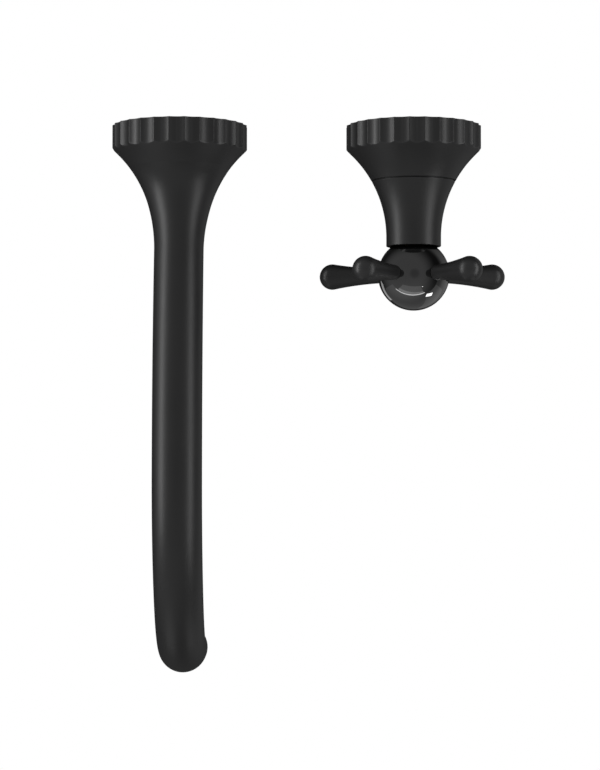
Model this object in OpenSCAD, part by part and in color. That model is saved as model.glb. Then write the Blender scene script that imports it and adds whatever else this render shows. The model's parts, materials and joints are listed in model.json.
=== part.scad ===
// Wall mounted bath faucet: a long curved spout and a quarter-turn valve with a five-armed
// handle, each on its own fluted wall flange. Millimetres.
// The origin is on the spout's axis at the finished wall. +X runs along the wall to the
// valve, -Y comes out of the wall and +Z is up. Nothing reaches behind the wall's face.

/* [Layout] */
// Distance between the spout's axis and the valve's axis
axis_spacing = 100; // [90:1:200]

/* [Wall flanges] */
// Radius of both wall flanges over the ridges of their flutes
flange_r = 29; // [28.5:0.5:36]
// Depth of the straight part of a flange, measured out of the wall
flange_h = 10; // [9:0.5:14]
// Size of the 45 degree bevel between the straight part and the flare
bevel = 2.5; // [1.5:0.5:3.5]
// Number of concave flutes round a flange
flute_count = 28; // [20:1:36]
// Depth of a flute under the ridges
flute_depth = 0.8; // [0.5:0.1:1.1]
// Flat left on each ridge between two flutes
flute_land = 0.3; // [0.2:0.1:0.6]
// Thickness of the flange's skirt at the wall, flutes included
skirt_wall = 3.5; // [3:0.1:4.5]

/* [Spout] */
// Distance from the wall to the axis of the water outlet
spout_reach = 226; // [190:1:300]
// Radius of the spout's tube
tube_r = 10.5; // [10:0.5:12.5]
// Thickness of the tube's wall
tube_wall = 2.5; // [2:0.1:3]
// Straight length from the wall to the first bend
straight_run = 18; // [17:0.5:24]
// Radius of the first bend, upwards out of the flare
rise_bend_r = 75; // [60:1:100]
// Slope of the tube where it leaves the flare
rise_angle = 18; // [12:1:20]
// Radius of the bend over the crest
crest_bend_r = 87; // [75:1:95]
// Slope of the tube at the end of the crest bend
crest_angle = 40; // [30:1:45]
// Radius of the last bend, down to the outlet
drop_bend_r = 53; // [45:1:60]
// Straight length of the tube above its mouth
mouth_run = 6; // [4:0.5:15]
// Radius of the last curve of the flare, where it runs into the tube
flare_tail_r = 77; // [65:1:90]
// Slope at which the flare's last curve begins
flare_tail_angle = 15.6; // [12:0.2:18]

/* [Valve] */
// Radius of the sleeve's straight front end
sleeve_r = 11.7; // [11.5:0.1:13]
// Thickness of the sleeve's wall at its open end
sleeve_wall = 1.5; // [1:0.1:1.8]
// Distance from the wall to the joint between bell and sleeve
seam_s = 23.5; // [23:0.5:26]
// Length of the sleeve's straight front end
sleeve_run = 3.47; // [2:0.01:6]
// Width of the shadow groove at the joint between bell and sleeve
seam_w = 0.5; // [0.3:0.1:0.8]

/* [Handle] */
// Radius of the ball in the middle of the handle
ball_r = 15.3; // [14.5:0.1:15.6]
// Gap along the axis between the sleeve's open end and the ball
ball_gap = 2.24; // [2.2:0.02:5]
// Distance from the valve's axis to the centre of an arm's round tip
arm_reach = 36.5; // [32:0.5:45]
// Radius of an arm's round tip
arm_tip_r = 5.5; // [5:0.1:6.5]
// Radius of an arm's thinnest section, inside the ball
arm_neck_r = 3.15; // [3:0.05:3.6]

/* [Threads and fits] */
// Radius of the pipe thread that joins both halves to the pipework, modelled plain
pipe_thread_r = 10.48; // [10.4:0.02:10.5]
// Radius of the hole for the spout's locking screw
spout_screw_r = 2.5; // [2:0.25:3]
// Radius of the arms' studs
stud_r = 2; // [1.5:0.25:2.2]
// Radius of the handle's locking screw
hub_screw_r = 2; // [1.5:0.25:2.5]
// Radius of the valve spindle
spindle_r = 4.5; // [4:0.1:4.8]
// Clearance between a round piece and the hole it sits in
slide_gap = 0.05; // [0.03:0.01:0.1]
// Clearance between two flat faces that turn against each other
film_gap = 0.05; // [0.03:0.01:0.1]

/* [Hidden] */
$fn = 64;
ARM_COUNT = 5;
FIRST_ARM = -90;

BLACK = "#2b2b2c";
GLOSS = "#101011";
BRASS = "#b9975b";
STEEL = "#a9adb0";
RUBBER = "#1d1d1d";
CERAMIC = "#e8e6df";
PLASTIC = "#d9d9d4";

over = 1;                 // how far a cutter runs past the face it opens
lap = 1;                  // how far the swept tube starts inside the flange
lap_step = 0.12;          // how much smaller it is than the flange there
collar_step = 0.1;        // how much the mouth's collar stands over the tube

// Flange and its cavity, as radius and distance from the wall.
bevel_end = [flange_r - bevel, flange_h + bevel];
skirt_r = flange_r - skirt_wall;
gasket_h = 3;
gasket_w = 2.9;
ledge = 1.5;              // width of the step that the wall gasket sits against
cavity_r = skirt_r - ledge;
cavity_h = flange_h - 1;
cavity_taper = 5;         // how far the spout's cavity narrows towards its end
cavity_edge = 0.5;

// Flare of the spout: one curve off the bevel, then a wider one that ends along the tube.
flare_r = (bevel_end.x - tube_r - flare_tail_r * (1 - cos(flare_tail_angle)))
    / (cos(flare_tail_angle) - cos(45));
flare_centre = bevel_end + flare_r * [cos(45), sin(45)];
tail_start = flare_centre.y - flare_r * sin(flare_tail_angle);
tail_centre = [tube_r + flare_tail_r, tail_start + flare_tail_r * sin(flare_tail_angle)];
flare_end = tail_centre.y;
flare_steps = 6;
tube_sides = 36;

// Centre line of the spout, as distance from the wall and height over the axis.
long_bend_r = (spout_reach - straight_run - rise_bend_r * sin(rise_angle)
    - crest_bend_r * sin(crest_angle) - drop_bend_r * (1 - sin(crest_angle))) / sin(rise_angle);
rise_start = [straight_run, 0];
rise_centre = rise_start + [0, rise_bend_r];
long_start = rise_centre + rise_bend_r * [sin(rise_angle), -cos(rise_angle)];
long_centre = long_start + long_bend_r * [sin(rise_angle), -cos(rise_angle)];
crest_start = long_centre + [0, long_bend_r];
crest_centre = crest_start - [0, crest_bend_r];
drop_start = crest_centre + crest_bend_r * [sin(crest_angle), cos(crest_angle)];
drop_centre = drop_start - drop_bend_r * [sin(crest_angle), cos(crest_angle)];
mouth_top = drop_centre + [drop_bend_r, 0];
mouth = mouth_top - [0, mouth_run];

// Lengths along the centre line at which its stretches begin, and the number of rings in each.
long_u = straight_run + rise_bend_r * rise_angle * PI / 180;
crest_u = long_u + long_bend_r * rise_angle * PI / 180;
drop_u = crest_u + crest_bend_r * crest_angle * PI / 180;
mouth_u = drop_u + drop_bend_r * (90 - crest_angle) * PI / 180;
stretches = [[straight_run - lap, straight_run, 1], [straight_run, flare_end, 14],
    [flare_end, crest_u, 5], [crest_u, drop_u, 8], [drop_u, mouth_u, 10],
    [mouth_u, mouth_u + mouth_run / 2, 1]];

// Connector inside the spout's flange.
connector_hex = 27;       // across its flats
thread_depth = 12;
connector_collar_r = 12.5;
connector_collar_h = 2;
socket_r = 8.5;
socket_start = 15;        // the spout's metal begins here, behind the cavity
socket_end = 34;
stem_end = socket_end - 1;
stem_r = socket_r - slide_gap;
connector_bore_r = 5.5;
o_ring_r = 1;             // section of the connector's O-rings
o_ring_groove = 2.6;
o_ring_places = [22.5, 28.5];
screw_place = 18.7;
screw_groove_depth = 1.1;
screw_groove_w = 2 * spout_screw_r + 0.4;
screw_length = 8;
screw_tip = 0.6;          // flat of a locking screw's point, as a share of its radius
screw_cone = 0.4;         // height of the point, as a share of the radius
screw_socket = 0.45;      // depth of its hexagon socket, as a share of its length

// Aerator in the spout's mouth, heights over the mouth.
water_r = tube_r - tube_wall;
mouth_wall = 1.5;
aerator_bore_r = tube_r - mouth_wall;
aerator_bore_h = 11;
aerator_r = aerator_bore_r - slide_gap;
aerator_recess = 0.6;
aerator_h = 9;
aerator_wall = 1.5;
aerator_lip = 0.5;
aerator_lip_h = 1.2;
insert_r = aerator_r - aerator_wall - slide_gap;
insert_h = 4;
insert_holes = [2, 2.6, 0.95];    // rings of holes, their pitch and the radius of a hole
screen_h = 0.6;
screen_holes = [3, 1.9, 0.6];
washer_lip = 0.6;         // how far the washer reaches into the waterway
key_notches = 8;
key_notch_w = 1.4;
key_notch_h = 0.8;
aerator_washer_h = aerator_bore_h - aerator_recess - aerator_h - 2 * film_gap;

// Flare of the bell and the sleeve: one curve off the bevel that ends along the sleeve.
bell_curve_r = (bevel_end.x - sleeve_r) / (1 - cos(45));
bell_centre = bevel_end + bell_curve_r * [cos(45), sin(45)];
sleeve_front_s = bell_centre.y + sleeve_run;
bell_lip = 2.67;          // thickness of the bell at its joint with the sleeve
spigot_r = bell_radius(seam_s) - bell_lip;
spigot_start = seam_s - 3;
spigot_room = 0.6;
bell_bore_r = spigot_r + slide_gap;
bell_cone_start = seam_s - 8;
bell_cone_w = 3.4;        // how much wider the cavity is there than the bore
bell_o_ring_r = 0.5;
bell_o_ring_s = seam_s - 1.5;
bell_o_ring_groove = 1.4;
seam_depth = 0.7;         // how far the shadow groove is cut in
rim_bevel = 0.4;
hex_room = 0.4;           // gap round the headwork's hexagon
bell_steps = 8;
sleeve_steps = 12;

// Headwork inside the bell, distances from the wall.
nose_start = 0.5;
nose_r = 8.6;
chamber_r = 7.2;
seat_h = 1.5;
disc_h = 2.5;
driver_h = 2.8;
thrust_h = 0.8;
fixed_disc_s = nose_start + seat_h + film_gap;
turning_disc_s = fixed_disc_s + disc_h + film_gap;
driver_s = turning_disc_s + disc_h + film_gap;
thrust_s = driver_s + driver_h + film_gap;
chamber_end = thrust_s + thrust_h + film_gap;
disc_room = 0.35;
turning_disc_r = chamber_r - disc_room;
seat_w = 2.45;
thrust_room = 0.4;
thread_start = 9;
thread_end = 17;
neck_r = 9.1;             // undercut between thread and collar, inside the washer
headwork_washer_h = 0.8;
collar_s = thread_end + headwork_washer_h;
collar_r = 12.6;
hex_s = collar_s + 1.2;
hex_end = 22.5;
headwork_hex = 22;        // across its flats
sleeve_bore_r = headwork_hex / 2 / cos(30) + hex_room;
web_start = hex_end + 0.5;
barrel_r = 9;
barrel_end = sleeve_front_s - 15.7;
window_w = 7;
window_h = 2.3;
port_in = 2.2;
port_out = 5.2;
port_angle = 80;
tongue_w = 2.4;
clip_opening = 3;
clip_s = barrel_end + 0.65;
clip_h = 0.7;
clip_r = 6.2;
clip_groove_r = spindle_r - 0.9;
spindle_o_ring_r = 0.6;
spindle_o_ring_groove = 1.6;
spindle_o_ring_places = [barrel_end - 12, barrel_end - 7];

// Splined joint between spindle and handle.
ball_s = sleeve_front_s + ball_gap + sqrt(ball_r ^ 2 - sleeve_r ^ 2);
spline_start = clip_s + 2.5;
spline_teeth = 20;
spline_r = spindle_r - 0.5;
spline_depth = 0.5;
spline_gap = 0.06;
insert_sink = 1.2;        // how far the bush sits inside the ball's surface
insert_past = 1.2;        // how far it reaches past the ball's centre
insert_start = ball_s - ball_r + insert_sink;
insert_end = ball_s + insert_past;
bush_r = 6.5;
spindle_end = insert_end - 1;
hub_screw_s = ball_s - 3.8;
hub_screw_angle = FIRST_ARM + 180 / ARM_COUNT;
hub_screw_length = 6;

// Arms of the handle, distances from the valve's axis.
arm_steps = 10;
stud_in = ball_r - 6.8;
stud_out = ball_r + 5.7;
arm_waist = ball_r - 5.3; // where the arm's curve would be thinnest
arm_curve_r = ((arm_reach - arm_waist) ^ 2 + arm_neck_r ^ 2 - arm_tip_r ^ 2)
    / (2 * (arm_tip_r - arm_neck_r));

// Draws along an axis that leaves the wall at x: local z is the distance from the wall and
// local y is up.
module out_of_wall(x) translate([x, 0, 0]) rotate([90, 0, 0]) children();

// Draws at the spout's mouth, with local z up into the tube.
module at_mouth() translate([0, -mouth.x, mouth.y]) children();

// Draws in the handle along the direction of an angle, with local z away from the axis.
module outward(angle, s) out_of_wall(axis_spacing)
    translate([0, 0, s]) rotate([0, 0, angle]) rotate([0, 90, 0]) children();

module ring(outer, inner, from, height) translate([0, 0, from]) difference() {
    cylinder(r = outer, h = height);
    translate([0, 0, -over]) cylinder(r = inner, h = height + 2 * over);
}

// Cuts a groove into a shaft, with its middle at a place along it.
module groove(shaft_r, depth, place, width)
    ring(shaft_r + over, shaft_r - depth, place - width / 2, width);

module o_ring(middle, section, place) translate([0, 0, place])
    rotate_extrude() translate([middle, 0]) circle(r = section, $fn = 24);

module hexagon(across, from, height) translate([0, 0, from])
    cylinder(r = across / 2 / cos(30), h = height, $fn = 6);

// Radius of the spout at a length along its centre line.
function flare_radius(u) = u < tail_start
    ? flare_centre.x - sqrt(flare_r ^ 2 - (flare_centre.y - u) ^ 2)
    : u < flare_end ? tail_centre.x - sqrt(flare_tail_r ^ 2 - (tail_centre.y - u) ^ 2) : tube_r;

// Slope of the centre line at a length along it.
function heading(u) = u < straight_run ? 0
    : u < long_u ? (u - straight_run) / rise_bend_r * 180 / PI
    : u < crest_u ? rise_angle - (u - long_u) / long_bend_r * 180 / PI
    : u < drop_u ? -(u - crest_u) / crest_bend_r * 180 / PI
    : max(-90, -crest_angle - (u - drop_u) / drop_bend_r * 180 / PI);

// Place of the centre line at a length along it, as distance from the wall and height.
function place(u) = let (t = heading(u), out = [-sin(t), cos(t)]) u < straight_run ? [u, 0]
    : u < long_u ? rise_centre - rise_bend_r * out
    : u < crest_u ? long_centre + long_bend_r * out
    : u < drop_u ? crest_centre + crest_bend_r * out
    : drop_centre + drop_bend_r * out - [0, max(0, u - mouth_u)];

// Radius of the spout's outside at a length along it. It starts just under the flange, and
// ends just inside the mouth's collar.
function swept_radius(u) = min(flare_radius(straight_run) - lap_step, flare_radius(u));

// A ring of points square to the centre line.
function ring_points(u, r) = let (p = place(u), t = heading(u))
    [for (k = [0:tube_sides - 1]) let (a = 360 * k / tube_sides)
        [r * cos(a), -p.x + r * sin(a) * sin(t), p.y + r * sin(a) * cos(t)]];

// Lengths at which the rings stand: close together in the flare and the tight bends.
function stations(from) = concat([from], [for (stretch = stretches)
    for (i = [1:stretch[2]]) let (u = stretch[0] + (stretch[1] - stretch[0]) * i / stretch[2])
        if (u > from + 1) u]);

// Flare and bent tube in one, with the waterway inside, which is closed at its inner end.
module swept_tube() {
    outside = stations(straight_run - lap);
    inside = stations(socket_end - lap);
    n = tube_sides;
    m = len(outside);
    rings = m + len(inside);
    points = concat([for (u = outside) each ring_points(u, swept_radius(u))],
        [for (u = inside) each ring_points(u, water_r)]);
    function strip(j, a, b) = [for (k = [0:n - 1]) let (next = (k + 1) % n)
        [j * n + k, a * n + k, a * n + next, b * n + next]];
    outer_walls = [for (j = [0:m - 2]) each strip(j, j + 1, j)];
    mouth_face = strip(m - 1, rings - 1, m - 1);
    inner_walls = [for (j = [rings - 1:-1:m + 1]) each strip(j, j - 1, j)];
    start_face = [[for (k = [0:n - 1]) k]];
    inner_face = [[for (k = [n - 1:-1:0]) m * n + k]];
    polyhedron(points, concat(start_face, outer_walls, mouth_face, inner_walls, inner_face));
}

// Concave flutes round a flange, each the side of a long cylinder that runs out on the bevel.
module flutes() {
    width = 2 * PI * flange_r / flute_count - flute_land;
    sagitta = flute_depth - flange_r * (1 - cos(180 / flute_count));
    cutter_r = width ^ 2 / (8 * sagitta) + sagitta / 2;
    for (i = [0:flute_count - 1]) rotate([0, 0, 90 + 360 * i / flute_count])
        translate([flange_r - flute_depth + cutter_r, 0, -over])
            cylinder(r = cutter_r, h = flange_h + bevel + over, $fn = 96);
}

module spout_body() color(BLACK) difference() {
    union() {
        out_of_wall(0) rotate_extrude() polygon(concat([[0, 0], [flange_r, 0], [flange_r, flange_h]],
            [for (i = [0:flare_steps])
                let (u = bevel_end.y + (straight_run - bevel_end.y) * i / flare_steps)
                    [flare_radius(u), u]], [[0, straight_run]]));
        swept_tube();
        at_mouth() cylinder(r = tube_r + collar_step, h = mouth_run);
    }
    out_of_wall(0) rotate_extrude() polygon([[0, -over], [skirt_r, -over], [skirt_r, gasket_h],
        [cavity_r, gasket_h], [cavity_r, cavity_h],
        [cavity_r - cavity_taper + cavity_edge, socket_start - cavity_edge],
        [cavity_r - cavity_taper, socket_start], [socket_r, socket_start], [socket_r, socket_end],
        [0, socket_end]]);
    out_of_wall(0) flutes();
    out_of_wall(0) translate([0, 0, screw_place]) rotate([90, 0, 0])
        cylinder(r = spout_screw_r, h = flange_r);
    at_mouth() translate([0, 0, -over]) cylinder(r = aerator_bore_r, h = aerator_bore_h + over);
}

module wall_gasket(x) color(RUBBER) out_of_wall(x)
    ring(skirt_r - slide_gap, skirt_r - gasket_w, 0, gasket_h);
module spout_wall_gasket() wall_gasket(0);
module bell_wall_gasket() wall_gasket(axis_spacing);

module spout_connector() color(BRASS) out_of_wall(0) difference() {
    union() {
        hexagon(connector_hex, 0, thread_depth);
        cylinder(r = connector_collar_r, h = thread_depth + connector_collar_h);
        cylinder(r = stem_r, h = stem_end);
    }
    translate([0, 0, -over]) cylinder(r = pipe_thread_r, h = thread_depth + over);
    cylinder(r = connector_bore_r, h = stem_end + over);
    for (s = o_ring_places) groove(stem_r, 2 * o_ring_r, s, o_ring_groove);
    groove(stem_r, screw_groove_depth, screw_place, screw_groove_w);
}

module connector_o_rings() color(RUBBER) out_of_wall(0)
    for (s = o_ring_places) o_ring(stem_r - o_ring_r, o_ring_r, s);

// A headless screw along local z, from a height up, with a blunt cone at its inner end and a
// hexagon socket in its outer end.
module locking_screw(r, from, length) translate([0, 0, from]) difference() {
    body_r = r - slide_gap;
    rotate_extrude() polygon([[0, 0], [body_r * screw_tip, 0], [body_r, body_r * screw_cone],
        [body_r, length], [0, length]]);
    hexagon(r, length * (1 - screw_socket), length);
}

module spout_locking_screw() color(STEEL) out_of_wall(0) translate([0, 0, screw_place])
    rotate([90, 0, 0]) locking_screw(spout_screw_r, stem_r - screw_groove_depth, screw_length);

// Threaded shell of the aerator, with a lip under the insert and notches for its key.
module aerator_housing() color(BRASS) at_mouth() difference() {
    translate([0, 0, aerator_recess]) cylinder(r = aerator_r, h = aerator_h);
    translate([0, 0, aerator_recess + aerator_lip_h])
        cylinder(r = aerator_r - aerator_wall, h = aerator_h);
    cylinder(r = aerator_r - aerator_wall - aerator_lip, h = aerator_h);
    for (i = [0:key_notches - 1]) rotate([0, 0, 360 * i / key_notches])
        translate([aerator_r - aerator_wall, -key_notch_w / 2, 0])
            cube([aerator_wall + over, key_notch_w, aerator_recess + key_notch_h]);
}

// A disc with round holes: one in the middle, then rings with six more in each. holes gives
// the number of rings, their pitch and the radius of a hole.
module holed_disc(r, h, holes) difference() {
    cylinder(r = r, h = h);
    translate([0, 0, -over]) cylinder(r = holes[2], h = h + 2 * over, $fn = 16);
    for (n = [1:holes[0]]) for (i = [0:6 * n - 1]) rotate([0, 0, 60 * i / n])
        translate([n * holes[1], 0, -over]) cylinder(r = holes[2], h = h + 2 * over, $fn = 16);
}

module aerator_insert() color(PLASTIC) at_mouth()
    translate([0, 0, aerator_recess + aerator_lip_h]) holed_disc(insert_r, insert_h, insert_holes);

module aerator_screen() color(STEEL) at_mouth()
    translate([0, 0, aerator_recess + aerator_lip_h + insert_h])
        holed_disc(insert_r, screen_h, screen_holes);

module aerator_washer() color(RUBBER) at_mouth()
    ring(aerator_r, water_r - washer_lip, aerator_recess + aerator_h, aerator_washer_h);

// Fluted flange and the start of the flare, up to the joint with the sleeve.
module valve_bell() color(BLACK) out_of_wall(axis_spacing) difference() {
    rotate_extrude() polygon(concat([[0, 0], [flange_r, 0], [flange_r, flange_h]],
        bell_points(bevel_end.y, seam_s, bell_steps), [[0, seam_s]]));
    rotate_extrude() polygon([[0, -over], [skirt_r, -over], [skirt_r, gasket_h],
        [cavity_r, gasket_h], [cavity_r, cavity_h],
        [bell_bore_r + bell_cone_w, bell_cone_start],
        [bell_bore_r, spigot_start - spigot_room], [bell_bore_r, seam_s + over],
        [0, seam_s + over]]);
    flutes();
}

// Points of the bell's and sleeve's common curve, between two distances from the wall.
function bell_radius(s) = s > bell_centre.y ? sleeve_r
    : bell_centre.x - sqrt(bell_curve_r ^ 2 - (bell_centre.y - s) ^ 2);
function bell_points(from, to, steps) =
    [for (i = [0:steps]) let (s = from + (to - from) * i / steps) [bell_radius(s), s]];

// Sleeve that screws on the headwork's barrel and holds the bell against the wall.
module valve_sleeve() color(BLACK) out_of_wall(axis_spacing) difference() {
    rotate_extrude() polygon(concat(
        [[0, spigot_start], [spigot_r, spigot_start], [spigot_r, seam_s],
         [bell_radius(seam_s) - seam_depth, seam_s],
         [bell_radius(seam_s + seam_w) - seam_depth, seam_s + seam_w]],
        bell_points(seam_s + seam_w, bell_centre.y, sleeve_steps),
        [[sleeve_r, sleeve_front_s - rim_bevel], [sleeve_r - rim_bevel, sleeve_front_s],
         [0, sleeve_front_s]]));
    translate([0, 0, spigot_start - over])
        cylinder(r = sleeve_bore_r, h = web_start - spigot_start + over);
    cylinder(r = barrel_r, h = barrel_end + over);
    translate([0, 0, barrel_end]) cylinder(r = sleeve_r - sleeve_wall, h = sleeve_front_s);
    groove(spigot_r, 2 * bell_o_ring_r, bell_o_ring_s, bell_o_ring_groove);
}

module sleeve_o_ring() color(RUBBER) out_of_wall(axis_spacing)
    o_ring(spigot_r - bell_o_ring_r, bell_o_ring_r, bell_o_ring_s);

// Brass body of the quarter-turn valve: a nose with two windows for the water, a pipe thread
// for the wall, a hexagon for the spanner and a barrel that carries the sleeve.
module headwork_body() color(BRASS) out_of_wall(axis_spacing) difference() {
    union() {
        translate([0, 0, nose_start]) cylinder(r = nose_r, h = thread_start);
        translate([0, 0, thread_start]) cylinder(r = pipe_thread_r, h = thread_end - thread_start);
        translate([0, 0, thread_end]) cylinder(r = neck_r, h = headwork_washer_h);
        translate([0, 0, collar_s]) cylinder(r = collar_r, h = hex_s - collar_s);
        hexagon(headwork_hex, hex_s, hex_end - hex_s);
        translate([0, 0, hex_s]) cylinder(r = barrel_r - slide_gap, h = barrel_end - hex_s);
    }
    cylinder(r = chamber_r, h = chamber_end);
    cylinder(r = spindle_r + slide_gap, h = barrel_end + over);
    translate([-window_w / 2, -flange_r, turning_disc_s])
        cube([window_w, 2 * flange_r, window_h]);
}

module headwork_washer() color("#8c3b2e") out_of_wall(axis_spacing)
    ring(collar_r, neck_r + slide_gap, thread_end, headwork_washer_h);

module seat_seal() color(RUBBER) out_of_wall(axis_spacing)
    ring(chamber_r - slide_gap, chamber_r - slide_gap - seat_w, nose_start, seat_h);

// Two openings opposite each other in the ceramic disc that stays still.
module fixed_disc() color(CERAMIC) out_of_wall(axis_spacing) translate([0, 0, fixed_disc_s])
    difference() {
        cylinder(r = chamber_r - slide_gap, h = disc_h);
        for (i = [0:1]) port(90 + 180 * i, disc_h + over);
    }

// A quarter of a ring, cut right through a disc.
module port(angle, height) rotate([0, 0, angle - port_angle / 2]) translate([0, 0, -over / 2])
    rotate_extrude(angle = port_angle) translate([port_in, 0]) square([port_out - port_in, height]);

// The disc that turns on it. Its notches lie across the openings when the valve is shut.
module turning_disc() color(CERAMIC) out_of_wall(axis_spacing) translate([0, 0, turning_disc_s])
    difference() {
        cylinder(r = turning_disc_r, h = disc_h);
        for (i = [0:1]) port(180 * i, disc_h + over);
        driver_slot(disc_h / 2, disc_h, slide_gap);
    }

// The tongue of the spindle, or the slot that it drives, across a disc.
module driver_slot(from, height, gap) translate([-tongue_w / 2 - gap, -turning_disc_r - gap, from])
    cube([tongue_w + 2 * gap, 2 * (turning_disc_r + gap), height]);

module thrust_washer() color(PLASTIC) out_of_wall(axis_spacing)
    ring(chamber_r - thrust_room, spindle_r + slide_gap, thrust_s - film_gap, thrust_h);

// Outline of the splines, grown by a gap for the bush that they fit.
module spline_outline(gap) polygon([for (i = [0:2 * spline_teeth - 1])
    let (r = spline_r + gap - (i % 2) * spline_depth, a = 180 * i / spline_teeth)
        [r * cos(a), r * sin(a)]]);

module spindle() color(BRASS) out_of_wall(axis_spacing) difference() {
    union() {
        intersection() {
            driver_slot(turning_disc_s + disc_h / 2 + film_gap, disc_h, 0);
            cylinder(r = turning_disc_r, h = driver_s + film_gap);
        }
        translate([0, 0, driver_s]) cylinder(r = turning_disc_r, h = driver_h);
        translate([0, 0, driver_s]) cylinder(r = spindle_r, h = spline_start - driver_s);
        translate([0, 0, spline_start]) linear_extrude(spindle_end - spline_start)
            spline_outline(0);
    }
    for (s = spindle_o_ring_places)
        groove(spindle_r, 2 * spindle_o_ring_r, s, spindle_o_ring_groove);
    ring(spindle_r + over, clip_groove_r, clip_s - film_gap, clip_h + 2 * film_gap);
}

module spindle_o_rings() color(RUBBER) out_of_wall(axis_spacing)
    for (s = spindle_o_ring_places) o_ring(spindle_r - spindle_o_ring_r, spindle_o_ring_r, s);

// Open ring that snaps into the spindle's groove.
module spindle_clip() color(STEEL) out_of_wall(axis_spacing) difference() {
    ring(clip_r, clip_groove_r + slide_gap, clip_s, clip_h);
    translate([0, -clip_opening / 2, clip_s - over])
        cube([clip_r + over, clip_opening, clip_h + 2 * over]);
}

module hub_insert() color(BRASS) out_of_wall(axis_spacing) difference() {
    translate([0, 0, insert_start]) cylinder(r = bush_r, h = insert_end - insert_start);
    translate([0, 0, insert_start - over]) linear_extrude(insert_end)
        spline_outline(spline_gap);
    translate([0, 0, hub_screw_s]) rotate([0, 0, hub_screw_angle]) rotate([0, 90, 0])
        cylinder(r = hub_screw_r, h = ball_r);
}

module hub_ball() color(GLOSS) difference() {
    out_of_wall(axis_spacing) translate([0, 0, ball_s]) sphere(r = ball_r, $fn = 128);
    out_of_wall(axis_spacing) cylinder(r = bush_r + slide_gap, h = insert_end);
    for (i = [1:ARM_COUNT]) outward(arm_angle(i), ball_s)
        translate([0, 0, stud_in - slide_gap]) cylinder(r = stud_r + slide_gap, h = ball_r);
    outward(hub_screw_angle, hub_screw_s) cylinder(r = hub_screw_r, h = ball_r + over);
}

module hub_locking_screw() color(STEEL) outward(hub_screw_angle, hub_screw_s)
    locking_screw(hub_screw_r, spline_r + spline_gap, hub_screw_length);

function arm_angle(i) = FIRST_ARM + 360 / ARM_COUNT * (i - 1);

module arm_studs() color(STEEL) for (i = [1:ARM_COUNT]) outward(arm_angle(i), ball_s)
    translate([0, 0, stud_in]) cylinder(r = stud_r, h = stud_out - stud_in);

// A club: a stem whose side is one long hollow curve, ending in a round tip.
module arm(i) color(BLACK) outward(arm_angle(i), ball_s) difference() {
    join = atan2(arm_reach - arm_waist, arm_curve_r + arm_neck_r);
    rotate_extrude() polygon(concat([[0, arm_waist + over]],
        [for (k = [1:arm_steps]) let (a = join * k / arm_steps)
            [arm_neck_r + arm_curve_r * (1 - cos(a)), arm_waist + arm_curve_r * sin(a)]],
        [for (k = [1:arm_steps - 1]) let (a = -join + (90 + join) * k / arm_steps)
            [arm_tip_r * cos(a), arm_reach + arm_tip_r * sin(a)]],
        [[0, arm_reach + arm_tip_r]]));
    cylinder(r = stud_r + slide_gap, h = stud_out + slide_gap);
    sphere(r = ball_r + slide_gap, $fn = 128);
}

spout_body();
spout_wall_gasket();
spout_connector();
connector_o_rings();
spout_locking_screw();
aerator_housing();
aerator_insert();
aerator_screen();
aerator_washer();
valve_bell();
bell_wall_gasket();
valve_sleeve();
sleeve_o_ring();
headwork_body();
headwork_washer();
seat_seal();
fixed_disc();
turning_disc();
thrust_washer();
spindle();
spindle_o_rings();
spindle_clip();
hub_insert();
hub_ball();
hub_locking_screw();
arm_studs();
for (i = [1:ARM_COUNT]) arm(i);
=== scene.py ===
import json
import math

import bpy
import numpy as np
from bpy.props import FloatProperty, FloatVectorProperty, IntProperty, PointerProperty
from mathutils import Matrix, Vector

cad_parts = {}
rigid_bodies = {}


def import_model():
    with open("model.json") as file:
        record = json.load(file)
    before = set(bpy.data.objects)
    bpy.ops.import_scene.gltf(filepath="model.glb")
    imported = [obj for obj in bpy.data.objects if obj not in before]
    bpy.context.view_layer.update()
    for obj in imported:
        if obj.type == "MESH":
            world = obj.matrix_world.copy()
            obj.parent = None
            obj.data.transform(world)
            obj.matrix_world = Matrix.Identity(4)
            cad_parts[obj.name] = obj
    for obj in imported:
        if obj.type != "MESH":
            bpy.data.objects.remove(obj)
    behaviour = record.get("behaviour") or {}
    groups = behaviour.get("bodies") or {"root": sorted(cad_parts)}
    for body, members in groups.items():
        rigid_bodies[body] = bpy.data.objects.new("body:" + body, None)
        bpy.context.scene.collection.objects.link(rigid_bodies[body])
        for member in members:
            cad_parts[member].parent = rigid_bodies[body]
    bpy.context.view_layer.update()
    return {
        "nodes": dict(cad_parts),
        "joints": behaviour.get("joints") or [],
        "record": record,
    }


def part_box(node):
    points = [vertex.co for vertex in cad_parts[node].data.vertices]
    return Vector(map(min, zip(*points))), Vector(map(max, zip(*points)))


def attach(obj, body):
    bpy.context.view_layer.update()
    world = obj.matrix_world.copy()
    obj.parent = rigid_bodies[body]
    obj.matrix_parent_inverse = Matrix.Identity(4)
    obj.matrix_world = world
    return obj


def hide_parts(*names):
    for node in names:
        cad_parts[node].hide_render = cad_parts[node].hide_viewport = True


bl_info = {
    "name": "Wall mounted bath faucet",
    "version": (1, 0, 0),
    "blender": (4, 5, 0),
    "location": "3D View > Sidebar > Faucet",
    "description": "Builds the shells, finishes and studio of a wall mounted bath faucet",
    "category": "Object",
}

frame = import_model()
MM = 0.001
FULL_TURN = 2 * math.pi
QUARTER_TURN = math.pi / 2
SLIDE_GAP = 0.05 * MM  # between a bore and the fitting that sits in it
SHARP_EDGE = math.radians(40)  # edges bent further than this stay sharp
SENSOR_WIDTH = 36  # millimetres
RIDGE_WEAR = 0.07  # width of the wear on a ridge, as a part of half a flute


# ---------------------------------------------------------------- sizes taken from the frame

def middle(node):
    """The middle of a CAD node's box, in metres."""
    low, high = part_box(node)
    return (low + high) / 2


def joint(name):
    """One joint of the packed record."""
    return next(j for j in frame["joints"] if j["name"] == name)


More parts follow.
